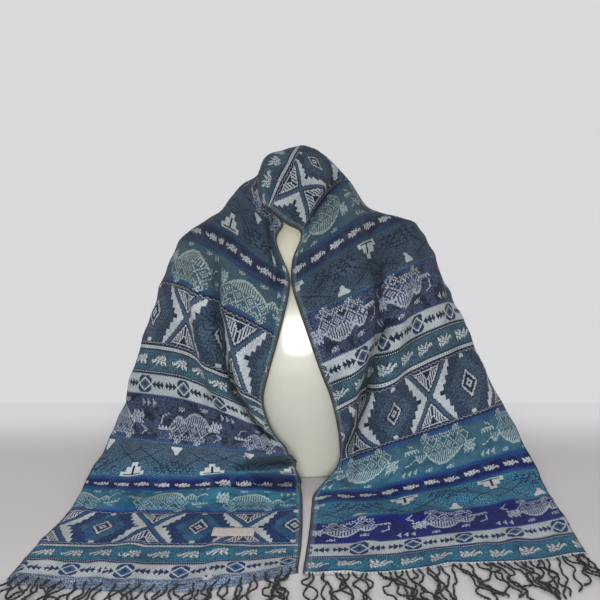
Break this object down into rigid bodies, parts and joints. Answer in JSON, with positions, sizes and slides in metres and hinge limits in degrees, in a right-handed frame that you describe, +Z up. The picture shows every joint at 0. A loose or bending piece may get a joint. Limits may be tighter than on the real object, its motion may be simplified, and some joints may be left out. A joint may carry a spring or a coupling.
{
  "type": "pashmina shawl on a limbless display bust",
  "caption": "Fringed woven shawl folded lengthwise, draped over a smooth limbless display bust, with both ends lying flat in front.",
  "frame": {"origin": "on the table, under the middle of the part's box", "axes": "+Z up, the shawl's ends lie towards -Y, which is the front, +X to the viewer's right"},
  "size_m": [0.7552, 0.6354, 0.5585],
  "materials": {
    "woven_cloth": "blue, teal and ivory jacquard weave with a soft nap and a slight sheen",
    "fringe_yarn": "charcoal two-ply twisted yarn, matt",
    "label_satin": "small plain satin label, pale",
    "bust_shell": "smooth ivory moulded shell, glossy"
  },
  "bodies": {
    "root": {"display_bust": "bust_shell", "shawl_neck": "woven_cloth", "shawl_shoulder_left": "woven_cloth", "shawl_shoulder_right": "woven_cloth", "shawl_fall_left": "woven_cloth", "shawl_fall_right": "woven_cloth", "shawl_end_left": "woven_cloth", "shawl_end_right": "woven_cloth", "shawl_under_left": "woven_cloth", "fringe_left": "fringe_yarn", "fringe_right": "fringe_yarn", "shawl_label": "label_satin"}
  },
  "joints": []
}
